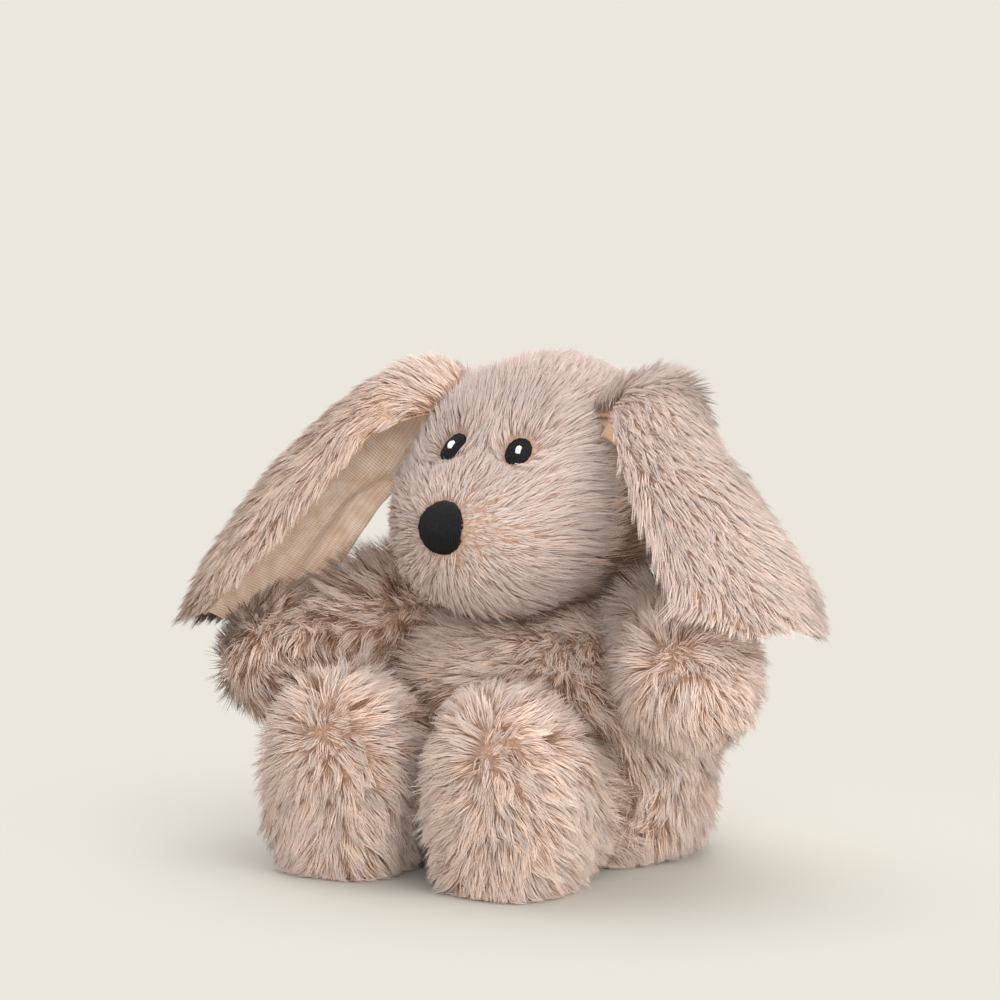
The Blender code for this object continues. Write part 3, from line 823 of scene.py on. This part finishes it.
def grow(roots, normals, comb, radius, height, locks, tousle, rng):
    """Fibres from their roots: each leans with its comb direction and towards its lock's tip."""
    way, lift, length = comb(roots, normals)
    spread = rng.normal(size=roots.shape)
    way = along_skin(way + 0.2 * tousle * spread, normals)
    length = length * rng.uniform(0.72, 1.1, len(roots))
    lift = lift + rng.normal(0, 0.10 * tousle, len(roots))
    heading = way * np.cos(lift)[:, None] + normals * np.sin(lift)[:, None]
    tip = roots + heading * length[:, None]
    lock_root, lock_tip, lock_tone, tree = locks
    near = np.array([tree.find(root)[1] for root in roots])
    pull = rng.uniform(0.4, 0.85, len(roots))[:, None]
    apart = rng.uniform(0.2, 0.7, (len(roots), 1))
    tip = tip * (1 - pull) + pull * (lock_tip[near] + 0.5 * (roots - lock_root[near]) * apart)
    foot = roots - normals * ROOT_DEPTH
    if height == 3:
        # The bend is the middle of a curve that leaves the skin upright.
        stand = roots + (normals * 0.42 + heading * 0.35) * length[:, None] * 0.55
        levels = np.stack([foot, 0.25 * roots + 0.5 * stand + 0.25 * tip, tip], axis=1)
    else:
        levels = np.stack([foot, roots * 0.35 + tip * 0.65], axis=1)
    levels[..., 2] = np.maximum(levels[..., 2], FLOOR_CLEAR)
    tone = np.clip(lock_tone[near] + rng.normal(0, 0.12, len(roots)), 0.02, 0.98)
    return spikes(levels, radius * rng.uniform(0.75, 1.25, len(roots)), tone, normals)


def grow_pile(name, body, surface, comb, seed, tousle=1.0, pale=0.35, patchy=0.34, lock_area=TUFT):
    """The pile on a set of triangles: its locks, long fibres and undercoat."""
    rng = np.random.default_rng(seed)
    locks = make_locks(*scatter(*surface, 1 / lock_area, rng), body, comb, tousle, pale, patchy, rng)
    long = grow(*scatter(*surface, LONG_PER_MM2, rng), comb, LONG_RADIUS, 3, locks, tousle, rng)
    short = grow(*scatter(*surface, UNDER_PER_MM2, rng), comb, UNDER_RADIUS, 2, locks, tousle, rng)
    piece = pile_mesh(name, [long, short], PILE)
    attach(piece, body)
    print(name, len(piece.data.polygons), "triangles")
    return piece


# %% [markdown]
# ## Head pile
# On the face the pile runs away from the nose on every side and is shortest round it. It parts round the
# eyes, falls down the back of the head and stands fuller beside the seams of the ears. It could be one piece,
# but three, for face, crown and nape, keep each mesh small.

# %% Head pile
NOSE = np.array(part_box("nose")).mean(axis=0)
EYES = [np.array(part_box(f"eye_{side}")).mean(axis=0) for side in SIDES]
DOWN = np.array([0.0, 0.0, -1.0])
# Pile that points at an eye ends this far from its middle, but is never shorter than stubble.
EYE_CLEAR, STUBBLE = 7.5 * MM, 1.8 * MM


def comb_head(p, n):
    """The way, lift and length of the pile at roots p on skin that faces n."""
    x, y, z = np.abs(p[:, 0]), p[:, 1], p[:, 2]
    away = p - NOSE
    behind = ease(-10 * MM, 45 * MM, y)[:, None]
    way = unit(away) * (1 - behind) + (DOWN + [0, 0.3, 0]) * behind + 0.22 * drift(p, 34 * MM, 3)
    length = (5.5 + 10.0 * ease(9 * MM, 55 * MM, np.linalg.norm(away, axis=1))) * MM
    # Shorter on the crown, longer under the chin and at the bottom of the cheeks
    length *= 1 - 0.35 * ease(178 * MM, 200 * MM, z)
    length *= 1 + 0.35 * ease(140 * MM, 122 * MM, z) * ease(-40 * MM, -60 * MM, y)
    cheek = 0.9 * ease(142 * MM, 122 * MM, z) * ease(-45 * MM, -15 * MM, y) * ease(24 * MM, 8 * MM, y)
    length *= 1 + cheek
    # Round the back of the head the pile is shorter and lies flat.
    rear = ease(-5 * MM, 20 * MM, y)
    length *= 1 - 0.3 * rear
    lift = np.radians(21 + 20 * ease(175 * MM, 200 * MM, z) * ease(35 * MM, 5 * MM, y) - 9 * rear)
    # Beside each ear's seam the pile of the crown stands fuller.
    beside = ease(22 * MM, 40 * MM, x) * ease(170 * MM, 186 * MM, z)
    beside *= ease(-22 * MM, -8 * MM, y) * ease(30 * MM, 10 * MM, y)
    lift = lift + np.radians(26) * beside
    length = length * (1 + 0.9 * beside)
    way = along_skin(way, n)
    for eye in EYES:
        # A fibre that would cross an eye is parted round it and clipped short of it.
        gap = np.linalg.norm(p - eye, axis=1)
        close = 1 - ease(6 * MM, 16 * MM, gap)
        way = along_skin(way + unit(p - eye) * close[:, None] * 0.9, n)
        towards = np.sum(way * unit(eye - p), axis=1) > 0.15
        length = np.where(towards, np.minimum(length, np.maximum(gap - EYE_CLEAR, STUBBLE)), length)
        length *= 1 - 0.4 * close
    return way, lift, length


def off_the_face(p):
    """Keeps the pile off the embroidery."""
    clear = np.linalg.norm((p - NOSE) * [0.95, 0.4, 0.95], axis=1) > 9.3 * MM
    for eye in EYES:
        clear &= np.linalg.norm((p - eye) * [1.15, 0.9, 0.95], axis=1) > 6.3 * MM
    return clear


FACE_ENDS, CROWN_STARTS = -30 * MM, 157 * MM
HEAD_PARTS = {
    "face": lambda p: (p[:, 1] < FACE_ENDS) & off_the_face(p),
    "crown": lambda p: (p[:, 1] >= FACE_ENDS) & (p[:, 2] >= CROWN_STARTS),
    "nape": lambda p: (p[:, 1] >= FACE_ENDS) & (p[:, 2] < CROWN_STARTS),
}
HEAD_PALE = {"face": 0.9, "crown": 0.7, "nape": 0.7}
for seed, (part, keep) in enumerate(HEAD_PARTS.items()):
    skin = form_surface("head", keep)
    grow_pile(f"{part}_pile", "head", skin, comb_head, 11 + seed, pale=HEAD_PALE[part], **BRUSHED)


# %% [markdown]
# ## Body pile
# The body is the most handled part, so its pile is tousled: it hangs down, and a smooth random drift turns it
# this way and that, more on the belly than on the back. Combing it straight would look like new cloth on the
# roll. The flat seat stays bare, as the pile there is pressed flat.

# %% Body pile
ABOVE_SEAT = 1.5 * MM


def comb_torso(p, n):
    """Down and tousled, and out over the roots of the arms high on the flanks."""
    flank = ease(30 * MM, 52 * MM, np.abs(p[:, 0])) * ease(52 * MM, 72 * MM, p[:, 2])
    tangle = 0.4 + 0.35 * ease(10 * MM, -20 * MM, p[:, 1])[:, None]
    way = DOWN + [-0.25, 0, 0] + tangle * drift(p, 42 * MM, 5)
    over_arm = np.stack([np.sign(p[:, 0]), np.full(len(p), -0.4), np.full(len(p), 0.3)], axis=1)
    way += over_arm * 1.2 * flank[:, None]
    return along_skin(way, n), np.radians(36 + 14 * flank), (14.5 + 3.5 * flank) * MM


def comb_neck(p, n):
    """Down, and short: the chin hides most of it."""
    way = along_skin(DOWN + 0.5 * drift(p, 30 * MM, 6), n)
    return way, np.full(len(p), math.radians(40)), np.full(len(p), 10 * MM)


def comb_tail(p, n):
    """Back and down, towards the end of the tail."""
    way = np.array([0.0, 0.5, -0.6]) + 0.3 * drift(p, 25 * MM, 8)
    return along_skin(way, n), np.full(len(p), math.radians(35)), np.full(len(p), 10 * MM)


belly = form_surface("torso", lambda p: (p[:, 1] < 0) & (p[:, 2] > ABOVE_SEAT))
back = form_surface("torso", lambda p: (p[:, 1] >= 0) & (p[:, 2] > ABOVE_SEAT))
grow_pile("belly_pile", "torso", belly, comb_torso, 21)
grow_pile("back_pile", "torso", back, comb_torso, 22)
grow_pile("neck_pile", "neck", form_surface("neck"), comb_neck, 23)
grow_pile("tail_pile", "tail", form_surface("tail"), comb_tail, 24)


# %% [markdown]
# ## Limb pile
# The end of a plush tube is gathered to a point, and the pile falls away from that point on all sides. This
# whorl is what makes the paws and the upright feet look round. Pile combed only downwards would leave a bare
# parting there, so each comb turns about its own whorl and is tangled close to it.


# %% Limb pile
def comb_leg(side):
    """The comb for one leg, with side 1 for the left and -1 for the right."""
    whorl = np.array([side * (34.0 if side > 0 else 45.0), -110.0, 58.0]) * MM

    def comb(p, n):
        reach = np.linalg.norm(p - whorl, axis=1)
        near = 1 - ease(0, 15 * MM, reach)[:, None]
        way = unit(p - whorl) + 0.9 * drift(p, 9 * MM, 35) * near
        way += 0.35 * DOWN + 0.35 * drift(p, 30 * MM, 31 + side)
        lift = np.radians(33 + 20 * near[:, 0])
        return along_skin(way, n), lift, np.full(len(p), 13.0 * MM)

    return comb


def comb_arm(name):
    """The comb for one arm: away from the paw's whorl, outwards along the arm, and high over the shoulder."""
    low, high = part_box(f"{name}_cover")
    side = 1 if name.endswith("left") else -1
    paw = np.array([high[0] if side > 0 else low[0], low[1], (low[2] + high[2]) / 2])
    shoulder = np.array([side * 56.0, 8.0, 113.0]) * MM
    # The whorl is on the inner top of the left paw, and underneath the right one.
    whorl = np.array([95.0, -71.0, 100.0]) * MM if side > 0 else paw + np.array([4.0, 16.0, -14.0]) * MM
    outward = np.array([side * 0.7, -0.7, -0.5])

    def comb(p, n):
        reach = np.linalg.norm(p - whorl, axis=1)
        near = 1 - ease(0, 15 * MM, reach)[:, None]
        paw_end = 1 - ease(25 * MM, 60 * MM, reach)[:, None]
        way = unit(p - whorl) * paw_end + 0.9 * drift(p, 9 * MM, 45) * near
        way += outward * (1 - paw_end) + 0.45 * DOWN + 0.4 * drift(p, 30 * MM, 41 + side)
        top = (1 - ease(25 * MM, 55 * MM, np.linalg.norm(p - shoulder, axis=1))) * ease(0.2, 0.8, n[:, 2])
        lift = np.radians(35 + 18 * near[:, 0] + 25 * top)
        return along_skin(way, n), lift, (14.5 + 9.0 * top) * MM

    return comb


# The right arm lies in the shade of the ear and the head, so its pile is painted darker: painted shade.
ARM_PALE = {"left": 0.35, "right": 0.02}
for seed, (name, side) in enumerate(zip(SIDES, (1, -1))):
    leg, arm = f"leg_{name}", f"arm_{name}"
    leg_skin = form_surface(leg, lambda p: p[:, 2] > ABOVE_SEAT)
    grow_pile(f"{leg}_pile", leg, leg_skin, comb_leg(side), 33 + seed)
    grow_pile(f"{arm}_pile", arm, form_surface(arm), comb_arm(arm), 43 + seed, pale=ARM_PALE[name])


# %% [markdown]
# ## Ear pile
# The pile of an ear runs from the root to the tip, stands up at the seam and hangs over the front edge as a
# fringe. Growing it on the whole panel would push fibres through the lining, so only the outer face carries
# it, with the hem where it is fringed.

# %% Ear pile
# How far down each ear its front fringe starts: on the left ear the bare lining shows above it.
FRINGE_FROM = {"left": 0.35, "right": 0.04}
# The right ear hangs on the side away from the key lamp, so its pile is painted lighter and warmer than the
# left's: painted light.
EAR_PALE = {"left": 0.6, "right": 0.05}


def comb_ear(side):
    """The comb for one ear, by the nearest place of its surface."""
    along, across = (v.ravel() for v in np.meshgrid(np.linspace(0, 1, 70), np.linspace(-1, 1, 40)))
    points, _, tipward, rearward = ear_surface(side, along, across)
    tree = point_tree(points)

    def comb(p, n):
        near = np.array([tree.find(root)[1] for root in p])
        edge, down = across[near], along[near]
        lower_front = ease(0.72, 1.0, -edge) * ease(0.3, 0.5, down)
        # At the seam the pile stands up, over the arch below it lies flatter, and it is clipped round the
        # corners of the tip.
        arch = 1 - ease(0.15, 0.45, down)
        seam = 1 - ease(0.05, 0.2, down)
        corner = ease(0.4, 1.0, np.abs(edge)) * ease(0.75, 0.95, down)
        lift = np.radians(24 - 11 * arch + 18 * seam)
        length = (13.0 - 3.0 * arch + 4.0 * seam) * (1 - 0.65 * corner) * MM
        if side == "right":
            fringe = (0.3 + 0.4 * ease(0.2, 0.4, down)) * ease(0.55, 1.0, -edge)
            lean = 0.2 * ease(-0.9, 0.2, edge) - fringe - 0.5 * ease(0.7, 1.0, edge)
        else:
            lean = 0.5 * ease(-0.7, 0.5, edge) - 0.55 * lower_front
            length *= 1 + 0.5 * lower_front
        way = tipward[near] + rearward[near] * lean[:, None] + 0.22 * drift(p, 30 * MM, 51)
        return along_skin(way, n), lift, length

    return comb


def ear_skin(side, plush):
    """The triangles of an ear that carry pile: the outer face, and the hem at the tip and along the fringe.
    All of them take the outer face's normals, so that the fringe is lit like the rest."""
    places, tris = coordinates(plush.data), triangles(plush.data)
    facing = np.cross(places[tris[:, 1]] - places[tris[:, 0]], places[tris[:, 2]] - places[tris[:, 0]])
    along, across = np.repeat(np.linspace(0, 1, 50), 41), np.tile(np.linspace(-1, 1, 41), 50)
    points, normals, _, _ = ear_surface(side, along, across)
    tree = point_tree(points)
    near = np.array([tree.find(middle)[1] for middle in places[tris].mean(axis=1)])
    turned = np.sum(unit(facing) * normals[near], axis=1)
    hem = (across[near] < -0.9) & (along[near] > FRINGE_FROM[side])
    outer = (turned > 0.5) | ((turned > -0.5) & (hem | (along[near] > 0.9)))
    outward = normals[[tree.find(place)[1] for place in places]]
    return places, outward, tris[outer]


for seed, side in enumerate(SIDES):
    ear = f"ear_{side}"
    plush, lining = ear_pieces[side]
    skin = ear_skin(side, plush)
    pile = grow_pile(f"{ear}_pile", ear, skin, comb_ear(side), 61 + seed, pale=EAR_PALE[side], **BRUSHED)

# %% [markdown]
# ## Thread
# The face is worked in rayon embroidery thread, black for the nose and eyes and white for the glints. Plain
# black would look like a hole. A fine noise gives each thread its own grey and a little unevenness, and the
# shine comes from the shader.

# %% Thread
THREAD = 0.55 * MM
FIBRE_GRAIN = 0.9 * MM


def thread_material(name, dark, light):
    """A thread's finish between two tones."""
    material, shader = new_material(name, 0.6, Specular_IOR_Level=0.22)
    place = add_node(material, "ShaderNodeTexCoord").outputs["Object"]
    grain = {"Scale": 1 / FIBRE_GRAIN, "Detail": 2.0}
    noise = add_node(material, "ShaderNodeTexNoise", {"Vector": place}, grain).outputs["Fac"]
    colour = add_node(material, "ShaderNodeValToRGB", {"Fac": noise}, stops=[(0.3, dark), (0.7, light)])
    material.node_tree.links.new(colour.outputs["Color"], shader.inputs["Base Color"])
    bump = add_node(material, "ShaderNodeBump", {"Height": noise}, {"Strength": 0.4, "Distance": 0.15 * MM})
    material.node_tree.links.new(bump.outputs["Normal"], shader.inputs["Normal"])
    return material


# Rayon thread: a soft shine along each stitch, with a little variation from thread to thread.
BLACK_THREAD = thread_material("black_rayon_thread", "#060607", "#171518")
WHITE_THREAD = thread_material("white_rayon_thread", "#e9e6e2", "#fbfaf7")
print("threads:", BLACK_THREAD.name, "and", WHITE_THREAD.name)

# %% [markdown]
# ## Satin stitch
# Nose, eyes and glints are satin stitch: threads laid side by side over a padded shape, each tucked in at
# both ends, with more threads under them. A smooth pad with a striped bump would be flat at its outline,
# where real threads turn under. So every thread is a spline laid on the CAD pad, and the curve's round bevel
# makes it solid before it becomes a mesh.

# %% Satin stitch
# In mm: from where the pad is looked at, how far a thread's ends turn under, and how deep each layer lies
ABOVE_PAD, TURN_UNDER, LAYER_DROP = 30, 1.2, 0.35


def pad_line(tree, start, along, look, reach):
    """The places where a straight line, seen from look, lies on a pad."""
    hits = []
    for step in np.linspace(-reach, reach, 61):
        spot = tree.ray_cast(Vector(start + along * step + look * ABOVE_PAD * MM), Vector(-look))[0]
        if spot:
            hits.append(np.array(spot))
    return hits


def add_thread(curve, path):
    """One more thread in a curve, through these places."""
    spline = curve.splines.new("POLY")
    spline.points.add(len(path) - 1)
    for point, place in zip(spline.points, path):
        point.co = (*place, 1.0)


def satin_stitch(node, look, along, material, tuck=0.3 * MM, layers=2, fuller=1.0):
    """Threads laid over a CAD pad, as seen from look, over layers of underlay. Each runs along the given
    direction, and they are spread sideways by the share fuller."""
    tree = search_tree(nodes[node].data)
    look, along = unit(np.array(look, float)), np.array(along, float)
    along = unit(along - look * (along @ look))
    across = np.cross(look, along)
    points = coordinates(nodes[node].data)
    middle = points.mean(axis=0)
    half_long, half_wide = (np.abs((points - middle) @ way).max() for way in (along, across))
    curve = bpy.data.curves.new(f"{node}_stitches", "CURVE")
    curve.dimensions = "3D"
    curve.bevel_depth = THREAD * 0.62
    curve.bevel_resolution = 1
    curve.use_fill_caps = True
    rng = np.random.default_rng(71)
    rows = np.arange(-half_wide + THREAD / 2 + max(-tuck, 0), half_wide + min(tuck, 0), THREAD)
    for layer, row in [(layer, row + layer % 2 * THREAD / 2) for layer in range(layers) for row in rows]:
        hits = pad_line(tree, middle + across * row, along, look, half_long)
        if len(hits) < 4:
            continue
        picked = [hits[i] for i in np.linspace(0, len(hits) - 1, 9).round().astype(int)]
        start = picked[0] - along * tuck - look * TURN_UNDER * MM
        end = picked[-1] + along * tuck - look * TURN_UNDER * MM
        laid = [p + look * (rng.uniform(-0.1, 0.1) - LAYER_DROP * layer) * MM for p in picked]
        path = [start, *laid, end]
        add_thread(curve, [p + across * ((p - middle) @ across) * (fuller - 1) for p in path])
    piece = bpy.data.objects.new(f"{node}_stitches", curve)
    bpy.context.scene.collection.objects.link(piece)
    make_active(piece)
    bpy.ops.object.convert(target="MESH")
    piece = bpy.context.object
    piece.data.shade_smooth()
    piece.data.materials.clear()
    piece.data.materials.append(material)
    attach(piece, "head")
    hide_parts(node)
    print(piece.name, len(piece.data.polygons), "faces")
    return piece


EYE_LOOK = np.array([0.16, -0.72, 0.5])
UPRIGHT, SIDEWAYS = (0, 0, 1), (1, 0, 0)
satin_stitch("nose", (0, -1, 0), (0.15, 0, 1), BLACK_THREAD, fuller=1.1)
for side, flip in zip(SIDES, (1, -1)):
    look = EYE_LOOK * [flip, 1, 1]
    glint = f"eye_glint_{side}"
    satin_stitch(f"eye_{side}", look, SIDEWAYS, BLACK_THREAD, fuller=1.12)
    satin_stitch(glint, look, UPRIGHT, WHITE_THREAD, -0.5 * MM, 5)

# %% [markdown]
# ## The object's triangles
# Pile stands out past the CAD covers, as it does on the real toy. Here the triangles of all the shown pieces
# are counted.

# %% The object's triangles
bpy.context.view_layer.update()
count = sum(len(triangles(piece.data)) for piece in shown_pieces() if piece.type == "MESH")
print("the whole object has", count, "triangles")
